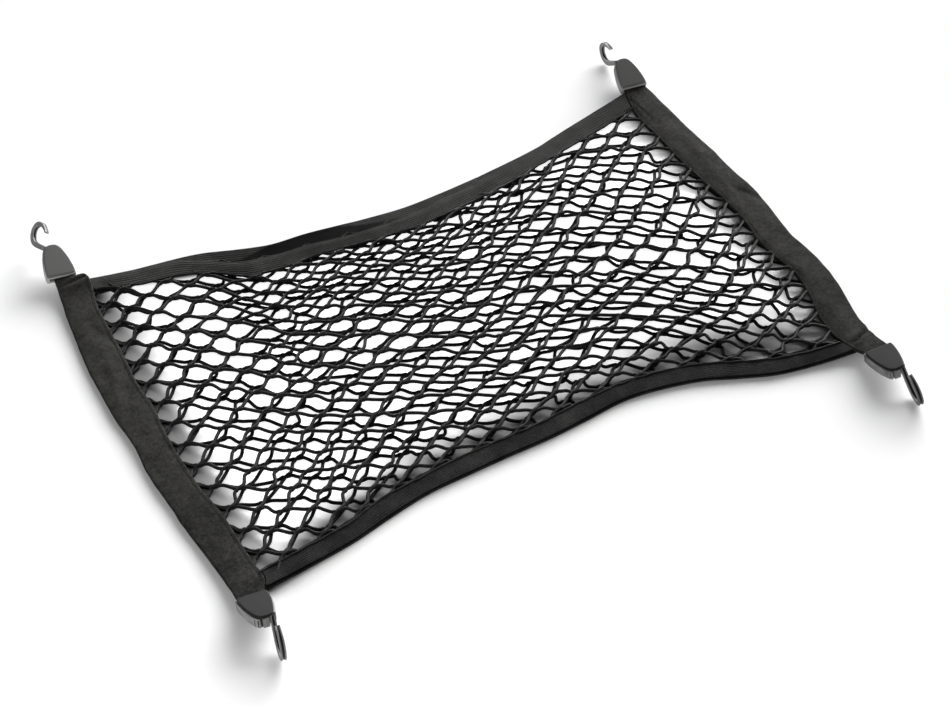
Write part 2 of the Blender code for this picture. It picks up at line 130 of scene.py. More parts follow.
class Nodes:  # a tree of nodes of one kind
    def __init__(self, tree, prefix):
        self.tree, self.prefix = tree, prefix

    def node(self, kind, settings=None, sockets=None, output=0):
        made = self.tree.nodes.new(self.prefix + kind)
        for key, value in (settings or {}).items():
            if key == "stops":
                ramp = made.color_ramp
                while len(ramp.elements) < len(value):
                    ramp.elements.new(0.5)
                for element, (place, colour) in zip(ramp.elements, value):
                    element.position = place
                    element.color = (*colour, 1.0)
            else:
                setattr(made, key, value)
        for key, value in (sockets or {}).items():
            if isinstance(value, Wire):
                self.tree.links.new(value.socket, made.inputs[key])
            else:
                made.inputs[key].default_value = value
        return Wire(self, made.outputs[output]) if made.outputs else None


class Look(Nodes):  # the nodes of one material or world
    def __init__(self, name, home=bpy.data.materials):
        self.material = home.new(name)
        self.material.use_nodes = True
        super().__init__(self.material.node_tree, "ShaderNode")
        self.tree.nodes.clear()

    def place(self):
        return self.node("TexCoord", output="Object")

    def part(self, vector, axis):  # one number of a vector
        return self.node("SeparateXYZ", {}, {"Vector": vector}, output=axis)

    def back(self):  # how far back a point lies
        return self.part(self.place(), 1)

    def strip(self):  # across and along a band of cloth as it was cut, in metres
        where = self.node("UVMap", {"uv_map": "flat"})
        return self.part(where, 0), self.part(where, 1)

    def kept(self, name):  # a number kept on the mesh's points
        return self.node("Attribute", {"attribute_name": name}, output="Fac")

    def spots(self, scale, detail=2.0, rough=0.5):
        return self.node("TexNoise", {}, {"Vector": self.place(), "Scale": scale, "Detail": detail,
                                          "Roughness": rough})

    def fade(self, value, low, high, first=0.0, last=1.0):  # a smooth step between two values
        return self.node("MapRange", {"interpolation_type": "SMOOTHSTEP"}, {
            "Value": value, "From Min": low, "From Max": high, "To Min": first, "To Max": last})

    def shade(self, level, *stops):
        return self.node("ValToRGB", {"stops": stops}, {"Fac": level})

    def finish(self, colour, roughness, shine, height=None, deep=0.0, **more):
        sockets = {"Base Color": colour, "Roughness": roughness, "Specular IOR Level": shine, **more}
        if height is not None:
            sockets["Normal"] = self.node("Bump", {}, {"Height": height, "Distance": deep, "Strength": 1.0})
        shader = self.node("BsdfPrincipled", {}, sockets)
        self.node("OutputMaterial", {}, {"Surface": shader})
        return self.material


# the pitches and bump depths are metres; each finish also says how much painted light each metre towards the
# back adds, and the elastic how deep its painted shade inside the back pocket's mouth is
cordFinish = {"dark": (0.0008, 0.0008, 0.001), "light": (0.022, 0.022, 0.021), "shine": 0.06,
              "braid": 0.0021, "plies": 3, "deep": 0.00022}
tapeFinish = {"dark": (0.006, 0.006, 0.006), "light": (0.044, 0.043, 0.0395), "shine": 0.03,
              "weft": 0.0011, "lean": 700.0, "warp": 0.0009, "paintedBackLight": 0.16, "deep": 0.00035}
elasticFinish = {"dark": (0.006, 0.006, 0.0065), "light": (0.06, 0.06, 0.057), "shine": 0.04,
                 "picks": 0.0021, "lean": 300.0, "rib": 0.00322, "firstRib": 0.00072, "paintedBackLight": 0.3,
                 "inside": 0.36, "deep": 0.0002}
plastics = {
    "clip_body": {"dark": (0.1, 0.1, 0.099), "light": (0.33, 0.33, 0.325), "shine": 0.15, "rough": 0.5,
                  "paintedBackLight": 0.6, "sunk": 0.0, "deep": 0.00006},
    "clip_lid": {"dark": (0.014, 0.0145, 0.014), "light": (0.11, 0.111, 0.108), "shine": 0.05, "rough": 0.65,
                 "paintedBackLight": 1.35, "sunk": 0.0, "deep": 0.00006},
    "hook": {"dark": (0.1, 0.1, 0.1), "light": (0.2, 0.2, 0.196), "shine": 0.18, "rough": 0.45,
             "paintedBackLight": 0.5, "sunk": 0.9, "deep": 0.00006},
}


def cordLook(size):
    look = Look("braided elastic cord")
    run = look.kept("along") * (2 * math.pi / size["braid"])
    turn = look.kept("around") * (2 * math.pi * size["plies"])
    braid = ((run + turn).sine() * (run - turn).sine()).size()
    mottle = look.spots(420, 3)
    colour = look.shade(braid * 0.5 + mottle * 0.55, (0.15, size["dark"]), (0.85, size["light"]))
    return look.finish(colour, mottle * 0.15 + 0.58, size["shine"], braid + mottle * 0.4, size["deep"])


def tapeLook(size):  # felted weave
    look = Look("charcoal side tape")
    across, along = look.strip()
    weft = (along * (2 * math.pi / size["weft"]) + across * size["lean"]).sine()
    warp = (across * (2 * math.pi / size["warp"])).sine()
    felt, tufts, patches = look.spots(900, 4, 0.7), look.spots(260, 3, 0.7), look.spots(50, 3, 0.6)
    # lighter towards the back is painted light
    level = patches * 0.22 + tufts * 0.4 + felt * 0.38 + weft * 0.03 + look.back() * size["paintedBackLight"]
    colour = look.shade(level, (0.38, size["dark"]), (0.62, size["light"]))
    return look.finish(colour, felt * 0.1 + 0.82, size["shine"], weft * warp * 0.5 + felt * 0.9, size["deep"])


def elasticLook(size):  # ribs along, fine picks across
    look = Look("ribbed elastic")
    across, along = look.strip()
    picks = (along * (2 * math.pi / size["picks"]) + across * size["lean"]).sine()
    ribs = ((across - size["firstRib"]) * (2 * math.pi / size["rib"])).maths("COSINE")
    fluff, patches = look.spots(900, 3, 0.7), look.spots(40, 2, 0.6)
    level = patches * 0.25 + fluff * 0.5 + ribs * 0.05 + picks * ribs * 0.04 + 0.04
    # lighter towards the back is painted light; darker where the inside attribute is set is painted shade, on
    # the lower back elastic behind the upper one
    level = level + look.back() * size["paintedBackLight"] - look.kept("inside") * size["inside"]
    colour = look.shade(level, (0.3, size["dark"]), (0.62, size["light"]))
    return look.finish(colour, fluff * 0.1 + 0.8, size["shine"], picks * 0.2 + fluff * 0.5, size["deep"])


def plasticLook(slot, size):
    look = Look(slot.replace("_", " ") + " plastic")
    grain, cloud = look.spots(2600, 2, 0.6), look.spots(60, 3, 0.6)
    # lighter towards the back is painted light
    level = cloud * 0.7 + grain * 0.3 + look.back() * size["paintedBackLight"]
    if size["sunk"]:  # painted shade: darker in the grooves
        level = level - look.kept("sunk") * size["sunk"]
    colour = look.shade(level, (0.0, (0.01, 0.01, 0.01)), (0.25, size["dark"]), (0.75, size["light"]))
    return look.finish(colour, cloud * 0.12 + size["rough"], size["shine"], grain, size["deep"])


looks = {"cord": cordLook(cordFinish), "side_tape": tapeLook(tapeFinish),
         "ribbed_elastic": elasticLook(elasticFinish)}
looks.update({slot: plasticLook(slot, size) for slot, size in plastics.items()})
print("looks made:", len(looks))


def ease(value, low, high):
    t = min(max((value - low) / (high - low), 0.0), 1.0)
    return t * t * (3 - 2 * t)


def bend(t, start, end, leaving, arriving):  # a point of a smooth curve between two places
    return ((2 * t**3 - 3 * t**2 + 1) * start + (t**3 - 2 * t**2 + t) * leaving
            + (3 * t**2 - 2 * t**3) * end + (t**3 - t**2) * arriving)


def smoothRows(rows, steps):  # more rows on a smooth curve through the given ones
    rows = np.array(rows, float)
    padded = np.vstack([2 * rows[0] - rows[1], rows, 2 * rows[-1] - rows[-2]])
    found = [bend(step / steps, b, c, (c - a) / 2, (d - b) / 2)
             for a, b, c, d in zip(padded, padded[1:], padded[2:], padded[3:]) for step in range(steps)]
    return np.array(found + [rows[-1]])


def clipMatrix(clip):  # right, outward and up at the middle of the clip's back edge
    turn = Matrix.Rotation(math.radians(clip["facing"]), 4, "Z")
    turn @= Matrix.Rotation(math.radians(clip["pitch"]), 4, "X")
    turn @= Matrix.Rotation(math.radians(clip["roll"]), 4, "Y")
    return Matrix.Translation(Vector(clip["at"])) @ turn


def clipUp(clip):
    return clipMatrix(clip).to_3x3() @ Vector((0, 0, 1))


def clothLift(x, y):  # the cloth rises to its clips at the corners
    lift = 0.0
    for clip in cornerClips.values():
        away = math.hypot(x - clip["at"][0], y - clip["at"][1]) / cloth["cornerReach"]
        lift += (clip["at"][2] - cloth["endThick"] / 2) * max(0.0, 1 - away) ** 2
    return lift


def addObject(name, data):
    thing = bpy.data.objects.new(name, data)
    bpy.context.scene.collection.objects.link(thing)
    return thing


def ringMesh(name, rings, slot, sharp):  # a closed body through equal rings, with capped ends
    size, points = len(rings[0]), [point for ring in rings for point in ring]
    last = len(points) - size
    faces = [(low + n, low + (n + 1) % size, low + size + (n + 1) % size, low + size + n)
             for low in range(0, last, size) for n in range(size)]
    faces += [tuple(range(size)), tuple(range(last, last + size))]
    mesh = bpy.data.meshes.new(name)
    mesh.from_pydata(points, [], faces)
    model = bmesh.new()
    model.from_mesh(mesh)
    bmesh.ops.recalc_face_normals(model, faces=model.faces)
    model.to_mesh(mesh)
    model.free()
    mesh.shade_smooth()
    mesh.set_sharp_from_angle(angle=math.radians(sharp))
    mesh.materials.append(looks[slot])
    return mesh


def bandPiece(name, rings, flats, slot):  # a band of cloth that keeps its flat pattern as UVs
    rings = [[tuple((np.array(point) + shift) * mm) for point in ring] for ring in rings]
    mesh = ringMesh(name, rings, slot, cloth["sharp"])
    flat = [np.array(mark) * mm for marks in flats for mark in marks]
    layer = mesh.uv_layers.new(name="flat")
    for loop in mesh.loops:
        layer.data[loop.index].uv = flat[loop.vertex_index]
    return addObject(name, mesh)


def bandSection(top, under, ribs=0, ribHeight=0.0):
    # places round a flat band: share across, height share, share of the crown, rib height
    corner = ((0.0, 0.3), (0.0, 0.5), (0.002, 0.72), (0.012, 0.9))
    places = [(across, height, 0.0, 0.0) for across, height in corner]
    for n in range(top + 1):
        across = 0.03 + 0.94 * n / top
        rib = ribHeight * math.sin(math.pi * ribs * n / top) ** 2 if ribs else 0.0
        places.append((across, 1.0, math.sin(math.pi * across), rib))
    places += [(1 - across, height, 0.0, 0.0) for across, height in reversed(corner)]
    places += [(0.96 - 0.92 * n / under, 0.0, 0.0, 0.0) for n in range(under + 1)]
    return places


# side tapes: folded bands whose ends rise into the clips' mouths
tape = {"thick": 5.0, "crown": 0.8, "steps": 9, "topSteps": 30, "underSteps": 8,
        "seamIn": 4.2, "seamWide": 1.1, "seamDepth": 0.45, "pucker": 0.35, "puckerPitch": 31.0,
        "wave": 0.9, "waveSize": (17, 30), "ragged": {"outer": (0.42, 14), "inner": (0.7, 5)}}
seam = {"pitch": 3.4, "stitch": 2.5, "shares": (0, 0.15, 0.5, 0.85, 1), "thread": 0.42, "sides": 6,
        "proud": 0.12, "sink": 0.6}
tapeCreases = {  # soft ridges and troughs: x, y, heading in degrees, half length, half width, height
    "left": ((-345, 246, 4, 20, 2.0, -2.2), (-346, 239, -3, 18, 4.0, 0.9), (-352, -236, 12, 16, 3.0, 0.7),
             (-362, 60, 80, 60, 5.0, 0.5), (-352, -90, 96, 70, 6.0, -0.4), (-340, 40, 20, 10, 3.0, -0.8),
             (-342, -40, -24, 12, 3.0, -0.8), (-345, 150, 110, 26, 3.4, -0.7)),
    "right": ((352, -236, 24, 17, 2.2, -2.0), (356, -229, 28, 19, 3.4, 1.4), (350, -243, 14, 17, 2.8, 1.2),
              (362, -214, 40, 15, 3.0, -1.0), (372, -196, 62, 14, 3.4, -0.8), (376, 20, 118, 22, 4.0, -1.0),
              (370, 60, 60, 20, 4.5, 0.9), (364, 90, 86, 70, 6.0, 0.5), (368, -60, 70, 40, 5.0, -0.4),
              (346, 222, 100, 24, 1.6, -0.7)),
}


def tapeRelief(side, place, across, width):  # how far the upper face stands off the plain one
    groove = (across * width - (width - tape["seamIn"])) / tape["seamWide"]
    rise = -tape["seamDepth"] * math.exp(-groove * groove)
    for x, y, turn, long, wide, high in tapeCreases[side]:
        turn, dx, dy = math.radians(turn), place.x - x, place.y - y
        along = (dx * math.cos(turn) + dy * math.sin(turn)) / long
        over = (dy * math.cos(turn) - dx * math.sin(turn)) / wide
        rise += high * math.exp(-(over**2) - along**4)
    waveX, waveY = tape["waveSize"]
    rise += tape["wave"] * noise(Vector((place.x / waveX, place.y / waveY, 3.0)))
    return rise + tape["pucker"] * across**3 * math.sin(place.y * 2 * math.pi / tape["puckerPitch"])


def mouthEdges(clip, depth):  # the tape's outer and inner edge at a depth in a clip's mouth
    return [clipMatrix(clip) @ Vector((edge, depth, -cloth["endThick"] / 2)) for edge in clip["tape"]]


def tapeStations(rows, back, front):  # outer edge, inner edge, thickness and crown along a tape
    found = [(outer, y, clothLift(outer, y), inner, y, clothLift(inner, y), tape["thick"], tape["crown"])
             for y, outer, inner in zip(rows["y"], rows["outer"], rows["inner"])]
    for clip, index in ((back, 0), (front, len(found) + 1)):
        outer, inner = mouthEdges(clip, -cloth["lip"])
        found.insert(index, (*outer, *inner, cloth["endThick"], 0.0))
    found[1] = (*found[1][:5], found[1][5] + back["curl"], *found[1][6:])
    stations = smoothRows(found, tape["steps"])
    stations[:, 2::3] = np.maximum(stations[:, 2::3], 0.0)
    return stations


def hemStitches(side, stations):  # dashes of thread along the tape's inner hem
    rows = stations[tape["steps"]: -tape["steps"]]
    runs = np.concatenate([[0], np.cumsum(np.linalg.norm(np.diff(rows[:, 3:6], axis=0), axis=1))])
    dashes = []
    for start in np.arange(1.0, runs[-1] - seam["pitch"], seam["pitch"]):
        dash = []
        for share in seam["shares"]:
            row = [np.interp(start + share * seam["stitch"], runs, column) for column in rows.T]
            outer, inner = Vector(row[:3]), Vector(row[3:6])
            width = (inner - outer).length
            across = 1 - tape["seamIn"] / width
            place = outer.lerp(inner, across)
            rise = row[6] + row[7] * math.sin(math.pi * across) + tapeRelief(side, place, across, width)
            rise += seam["proud"] - (seam["sink"] if share in (0, 1) else 0.0)
            dash.append(np.array(place + Vector((0, 0, rise))))
        dashes.append((dash, seam["thread"]))
    return dashes


def sideTape(side, rows):  # returns the places of its inner edge, and its stitches
    back, front = cornerClips[side + "_back"], cornerClips[side + "_front"]
    section = bandSection(tape["topSteps"], tape["underSteps"])
    stations = tapeStations(rows, back, front)
    last = len(stations) - 1
    tilted = {0: clipUp(back), last: clipUp(front)}
    rings, flats, run, before = [], [], 0.0, stations[0]
    for index, row in enumerate(stations):
        run += np.linalg.norm((row[:3] + row[3:6] - before[:3] - before[3:6]) / 2)
        before = row
        outer, inner = Vector(row[:3]), Vector(row[3:6])
        width = (inner - outer).length
        up = tilted.get(index, Vector((0, 0, 1)))
        free = ease(min(index, last - index), 0, tape["steps"])
        ring = []
        for across, height, dome, _ in section:
            place = outer.lerp(inner, across)
            rise = height * row[6] + row[7] * dome
            if height > 0.5:
                rise += free * tapeRelief(side, place, across, width)
            if 0 < height < 1 and free > 0:  # a slightly ragged edge
                ragged, size = tape["ragged"]["outer" if across < 0.5 else "inner"]
                push = ragged * noise(Vector((across * 9, place.y / size, 7.0)))
                place = place + (inner - outer).normalized() * push
            ring.append(place + up * rise)
        rings.append(ring)
        flats.append([(across * width, run) for across, *_ in section])
    for clip, at in ((back, 0), (front, len(rings) + 1)):
        (outer, inner), up = mouthEdges(clip, cloth["depth"]), clipUp(clip)
        ring = [outer.lerp(inner, across) + up * height * cloth["endThick"] for across, height, *_ in section]
        rings.insert(at, ring)
        flats.insert(at, flats[0] if at == 0 else flats[-1])
    piece = bandPiece(f"{side}_side_tape", rings, flats, "side_tape")
    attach(piece, "root")
    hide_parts(f"side_band_{side}")
    order = np.argsort(stations[:, 4])
    return (stations[order, 4], stations[order, 3]), hemStitches(side, stations)


leftEdge, leftStitches = sideTape("left", leftTapeRows)
rightEdge, rightStitches = sideTape("right", rightTapeRows)
print("side tapes made")

# ribbed elastic tapes, an upper and a lower one along each long edge
elastic = {"thick": 2.4, "crown": 0.1, "width": 24.0, "rise": 2.8, "steps": 9, "ribs": 7, "perRib": 7,
           "underSteps": 6, "ribHeight": 0.35, "scallop": 0.5, "scallopFrom": 0.9, "meshPitch": 24.0,
           "roll": {"back": 0.5, "front": 0.1}, "rollAt": 0.3, "rollWide": 0.25, "curl": 0.8,
           "rough": 0.18, "roughSize": (22, 7), "seed": {"upper": 11.0, "lower": 5.0}}
mouth = {  # painted shade on the lower back elastic in the pocket's mouth: how far it shows behind the upper one
    "x": (-196, -172, -150, -120, -62, -30, 10, 50),
    "reach": (0, 5, 12, 24, 23, 12, 4, 0),
    "soft": 3.5, "full": 8.0,
}


# how strongly the painted shade darkens a point of the lower back elastic
def mouthShade(x, y):
    reach = np.interp(x, mouth["x"], mouth["reach"])
    behind = y - np.interp(x, backElasticRows["x"], backElasticRows["split"])
    return float(min(1.0, reach / mouth["full"]) * ease(reach - behind, -mouth["soft"], mouth["soft"]))


def elasticRise(end, upper, x, y, across, height, dome, rib, stand, free):
    if upper:
        rise = stand * (1 - across) + elastic["rise"]
    else:
        rise = stand * max(0.0, 1 - across / elastic["curl"]) ** 1.5
    rise += height * elastic["thick"] + dome * elastic["crown"] - rib * free
    if upper and height > 0:  # the outer part rolls up from the floor
        bulge = math.exp(-(((across - elastic["rollAt"]) / elastic["rollWide"]) ** 2))
        rise += free * elastic["roll"][end] * bulge
    if height > 0.5:
        roughX, roughY = elastic["roughSize"]
        seed = elastic["seed"]["upper" if upper else "lower"]
        rise += free * elastic["rough"] * noise(Vector((x / roughX, y / roughY, seed)))
    return rise


def elasticTape(end, layer, rows):  # returns the places of its inner edge
    upper = layer == "upper"
    inward = -1 if end == "back" else 1
    first, last = rows["x"][0], rows["x"][-1]
    found = []
    for x, outer, split, inner, stand, lowStand in zip(*rows.values()):
        lower = (x, outer, outer + inward * elastic["width"], lowStand)
        found.append((x, split, inner, stand) if upper else lower)
    section = bandSection(elastic["ribs"] * elastic["perRib"], elastic["underSteps"], elastic["ribs"],
                          elastic["ribHeight"])
    rings, flats, inside, edge, run, before = [], [], [], [], 0.0, None
    for x, outer, inner, stand in smoothRows(found, elastic["steps"]):
        along = (x - first) / (last - first)
        run += 0.0 if before is None else math.hypot(x - before[0], outer - before[1])
        before = (x, outer)
        free = ease(min(along, 1 - along), 0.0, 0.03)
        ring = []
        for across, height, dome, rib in section:
            y = outer + across * (inner - outer)
            west = np.interp(y, *leftEdge) + cloth["sewGap"]
            east = np.interp(y, *rightEdge) - cloth["sewGap"]
            place = west + along * (east - west)
            if across > elastic["scallopFrom"]:  # the net's cords pull the inner edge in and out
                turn = math.sin(place * 2 * math.pi / elastic["meshPitch"])
                y += inward * free * elastic["scallop"] * turn
            rise = elasticRise(end, upper, place, y, across, height, dome, rib, stand, free)
            ring.append((place, y, clothLift(place, y) + rise))
            # painted shade on the lower back elastic, kept per point
            inside.append(0.0 if upper or end == "front" else mouthShade(place, y))
        rings.append(ring)
        flats.append([(across * elastic["width"], run) for across, *_ in section])
        edge.append((place, inner))
    piece = bandPiece(f"{end}_elastic_{layer}", rings, flats, "ribbed_elastic")
    piece.data.attributes.new("inside", "FLOAT", "POINT").data.foreach_set("value", inside)
    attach(piece, "root")
    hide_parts(f"elastic_{end}_{layer}")
    return np.array(edge).T


elasticEdges = {(end, layer): elasticTape(end, layer, rows)
                for end, rows in (("back", backElasticRows), ("front", frontElasticRows))
                for layer in ("lower", "upper")}
print("elastics made:", len(elasticEdges))

# two layers of net: cords that meet in short joined stretches, with slack between them
net = {
    "columns": 14, "rows": 14, "cord": 1.9, "join": 4.0, "apart": 1.6, "cross": 0.85, "bow": 17.0,
    "bowShare": 0.8, "strandSteps": 7, "sides": 7, "swell": (18.0, 70.0), "jitter": 1.5, "freeFrom": 7.0,
    "sag": 0.7, "swing": 0.55, "slack": 1.6, "part": {"lower": -1.3, "upper": 0.5}, "partLess": 0.4,
    "ripple": 0.4, "rippleSize": (47, 38), "driftSize": {"y": (34, 26), "x": (40, 30)},
    "tuck": 8.0, "sideTuck": 3.5, "tuckDrop": 2.4, "sewnSlip": 0.15,
}
netLayers = {
    "lower": {"heights": (1.7, 1.75), "seed": 5, "drift": 7.0, "edgeHeight": 2.2},
    "upper": {"heights": (4.6, 6.3), "seed": 2, "drift": 4.0, "edgeHeight": 4.9},
}
edgeCord = {"cord": 1.4, "from": 2.0, "step": 4.0, "in": 0.7, "wander": 1.2, "wanderSize": 11,
            "bob": 0.6, "bobSize": 13}
firstColumns = {"u": (0.0, 0.04, 0.1, 0.16, 0.27), "east": (15, 10, 8, 5, 0), "hidden": -8, "sewn": 0.68}
lastColumn = {"hidden": 7, "sewn": 0.85}
slip = {  # how far the lower layer has slipped along the up-right cords, in half meshes
    "u": (0.0, 0.25, 0.5, 0.75, 1.0),
    "back": (0.05, 0.0, 0.2, 0.4, 0.25),
    "middle": (0.35, 0.15, 0.3, 0.85, 0.65),
    "front": (0.6, 0.55, 0.5, 0.9, 0.5),
    "uneven": 0.45, "unevenSize": (9, 7),
}
aside = {"most": 0.35, "u": (0.42, 0.2), "v": (0.5, 0.25)}  # across those cords, at the front left
pulled = {  # where both layers are pulled towards the back, by share of the width, then of the depth
    "u": (0.0, 0.1, 0.3, 0.5, 0.7, 0.85, 0.95, 1.0),
    "v": (0.0, 0.2, 0.4, 0.5, 0.65, 0.8, 0.92, 1.0),
    "rows": ((0, 0, 0, 0, 0, 0, 0, 0),
             (0, 0, 0, 0, -2, -3, -3, 0),
             (0, 2, 0, -2, -5, -9, -11, -4),
             (0, 2, 1, -1, -4, -9, -10, -4),
             (0, 3, 3, 0, 0, -1, -1, 0),
             (0, 3, 2, 1, 3, 7, 8, 3),
             (0, 2, 1, 0, 2, 5, 5, 0),
             (0, 0, 0, 0, 0, 0, 0, 0)),
}


def slipAt(u, v):
    columns = [np.interp(u, slip["u"], slip[key]) for key in ("front", "middle", "back")]
    unevenU, unevenV = slip["unevenSize"]
    return (np.interp(v, (0.0, 0.5, 1.0), columns)
            + slip["uneven"] * noise(Vector((u * unevenU, v * unevenV, 4.0))))


def netPlace(layer, u, v, inside):  # a point of one layer, by its share of the width and the depth
    back, front = elasticEdges["back", layer], elasticEdges["front", layer]
    upper, seed = layer == "upper", netLayers[layer]["seed"]
    if not upper:
        along = inside * slipAt(u, v)
        over = inside * aside["most"] * ease(u, *aside["u"]) * ease(v, *aside["v"])
        u, v = u + (along + over) / (2 * net["columns"]), v + (along - over) / (2 * net["rows"])
    x, y = 0.0, 0.0
    for _ in range(10):  # the edges' places depend on each other
        west, east = np.interp(y, *leftEdge) - net["sideTuck"], np.interp(y, *rightEdge) + net["sideTuck"]
        south, north = np.interp(x, *front) - net["tuck"], np.interp(x, *back) + net["tuck"]
        x, y = west + u * (east - west), south + v * (north - south)
    fromSide, fromEnd = min(u, 1 - u) * (east - west), min(v, 1 - v) * (north - south)
    swell = ease(min(fromSide, fromEnd), *net["swell"])
    low, high = netLayers[layer]["heights"]
    rise = 0.0
    if upper:  # lower where it goes into the tapes and the elastics
        shown = min(ease(fromEnd, 0.0, net["tuck"] + 3), ease(fromSide, net["sideTuck"], net["sideTuck"] + 7))
        low -= (1 - shown) * net["tuckDrop"]
        rippleX, rippleY = net["rippleSize"]
        rise = net["ripple"] * swell * math.sin(x / rippleX + 1) * math.sin(y / rippleY)
    drift, (driftX, driftY) = inside * netLayers[layer]["drift"], net["driftSize"]["y"]
    pull = np.interp(v, pulled["v"], [np.interp(u, pulled["u"], row) for row in pulled["rows"]])
    y += pull + drift * noise(Vector((x / driftX, y / driftY, seed)))
    driftX, driftY = net["driftSize"]["x"]
    x += drift * noise(Vector((x / driftX, y / driftY, seed + 30)))
    return np.array((x, y, clothLift(x, y) + low + (high - low) * swell + rise))


def netNodes(layer):  # the joined places: where, along the stretch and across it
    wide, high = 2 * net["columns"], 2 * net["rows"]
    chance = np.random.RandomState(netLayers[layer]["seed"])
    nodes = {}
    for i in range(-1, wide + 1):
        for j in range(i % 2, high + 1, 2):
            u, v = max(i, 0) / wide, j / high
            calm = net["freeFrom"] * math.sin(math.pi * max(u, 0.04)) * math.sin(math.pi * v)
            inside = min(1.0 if i > 0 else net["sewnSlip"], calm)
            here = netPlace(layer, u, v, inside)
            after = netPlace(layer, min(u + 0.5 / wide, 1), v, inside)
            before = netPlace(layer, max(u - 0.5 / wide, 0), v, inside)
            run = (after - before) / np.linalg.norm(after - before)
            here[:2] += inside * net["jitter"] * chance.uniform(-1, 1, 2)
            here[0] += (firstColumns["hidden"] if i < 0 else lastColumn["hidden"] if i == wide
                        else np.interp(u, firstColumns["u"], firstColumns["east"]))
            nodes[i, j] = here, run, np.cross((0, 0, 1.0), run)
    return nodes


def strand(start, end, run, endRun, chance, loose, part):
    # a smooth curve that leaves one joined stretch and enters the next
    sag, swing = loose * net["sag"] * chance.normal() + part, loose * net["swing"] * chance.normal()
    bow = min(net["bow"], net["bowShare"] * np.linalg.norm(end - start))
    side = np.cross((0, 0, 1.0), end - start)
    side = side / max(np.linalg.norm(side), 1e-6)
    points = []
    for step in range(1, net["strandSteps"]):
        t = step / net["strandSteps"]
        off = sag * math.sin(math.pi * t) + swing * math.sin(2 * math.pi * t)
        points.append(bend(t, start, end, bow * run, bow * endRun) + side * off)
    return points


def joinedStretch(nodes, i, j, step):  # where a cord runs beside another one, or is sewn in
    here, run, side = nodes[i, j]
    wide, high = 2 * net["columns"], 2 * net["rows"]
    if i not in (-1, wide) and j not in (0, high):
        reach = run * net["join"] + side * step * net["apart"]
        rise = np.array((0, 0, step * net["cross"]))
        enter, leave = here - reach, here + reach
        return [enter, enter * 0.75 + leave * 0.25 + rise * 0.8, here + rise,
                enter * 0.25 + leave * 0.75 + rise * 0.8, leave]
    if i < 0:
        here = here + (nodes[0, j + step][0] - here) * (1 - firstColumns["sewn"])
    if i == wide and (i - 1, j - step) in nodes:
        here = here + (nodes[i - 1, j - step][0] - here) * (1 - lastColumn["sewn"])
    return [here]


def gatheredCord(end, layer):  # the cord along an elastic's inner edge
    xs, ys = elasticEdges[end, layer]
    inward = -1 if end == "back" else 1
    line = []
    for x in np.arange(xs[0] + edgeCord["from"], xs[-1] - edgeCord["from"], edgeCord["step"]):
        wander = noise(Vector((x / edgeCord["wanderSize"], inward * 5, netLayers[layer]["seed"])))
        bob = noise(Vector((x / edgeCord["bobSize"], 3, inward)))
        y = np.interp(x, xs, ys) + inward * (edgeCord["in"] + edgeCord["wander"] * wander)
        height = netLayers[layer]["edgeHeight"] + edgeCord["bob"] * bob
        line.append(np.array((x, y, clothLift(x, y) + height)))
    return line, edgeCord["cord"]


def netLines(layer):
    wide, high = 2 * net["columns"], 2 * net["rows"]
    nodes = netNodes(layer)
    chance = np.random.RandomState(netLayers[layer]["seed"] + 20)
    lines = []
    for step in (1, -1):
        low = 0 if step == 1 else high
        for i, j in [(-1, j) for j in range(1, high, 2)] + [(i, low) for i in range(0, wide + 1, 2)]:
            line, left = [], None
            while (i, j) in nodes:
                stretch, run = joinedStretch(nodes, i, j, step), nodes[i, j][1]
                if left is not None:
                    loose = net["slack"] if step == -1 and i > net["columns"] else 1.0
                    part = net["part"][layer] * (1.0 if step == -1 else net["partLess"])
                    line += strand(left[0], stretch[0], left[1], run, chance, loose, part)
                line += stretch
                left = (stretch[-1], run)
                i, j = i + 1, j + step
            if len(line) > 2:
                lines.append((line, net["cord"]))
    return lines + [gatheredCord(end, layer) for end in ("back", "front")]


def cordTree():  # round cord along every line of a mesh of edges
    tree = bpy.data.node_groups.new("round cord", "GeometryNodeTree")
    nodes, keys = Nodes(tree, "GeometryNode"), {}
    for name, kind in (("Lines", "Geometry"), ("Sides", "Int"), ("Look", "Material")):
        socket = tree.interface.new_socket(name=name, in_out="INPUT", socket_type="NodeSocket" + kind)
        keys[name] = socket.identifier
    tree.interface.new_socket(name="Cord", in_out="OUTPUT", socket_type="NodeSocketGeometry")
    start, end = tree.nodes.new("NodeGroupInput"), tree.nodes.new("NodeGroupOutput")
    lines, sides, look = (Wire(nodes, start.outputs[name]) for name in keys)

    def keep(curve, name, value):
        return nodes.node("StoreNamedAttribute", {"data_type": "FLOAT"},
                          {"Geometry": curve, "Name": name, "Value": value})

    thick = nodes.node("InputNamedAttribute", {"data_type": "FLOAT"}, {"Name": "thick"})
    path = nodes.node("SetCurveRadius", {}, {"Curve": nodes.node("MeshToCurve", {}, {"Mesh": lines}),
                                             "Radius": thick})
    path = keep(path, "along", nodes.node("SplineParameter", output="Length"))
    circle = nodes.node("CurvePrimitiveCircle", {}, {"Resolution": sides, "Radius": 1.0})
    circle = keep(circle, "around", nodes.node("SplineParameter", output="Factor"))
    tube = nodes.node("CurveToMesh", {}, {"Curve": path, "Profile Curve": circle, "Scale": thick,
                                          "Fill Caps": True})
    smooth = nodes.node("SetShadeSmooth", {}, {"Geometry": tube})
    real = nodes.node("RealizeInstances", {}, {"Geometry": smooth})
    painted = nodes.node("SetMaterial", {}, {"Geometry": real, "Material": look})
    tree.links.new(painted.socket, end.inputs["Cord"])
    return tree, keys


roundCord, cordKeys = cordTree()


def evaluated(thing):  # the plain mesh that a thing's modifiers make
    bpy.context.view_layer.update()
    graph = bpy.context.evaluated_depsgraph_get()
    return bpy.data.meshes.new_from_object(thing.evaluated_get(graph))


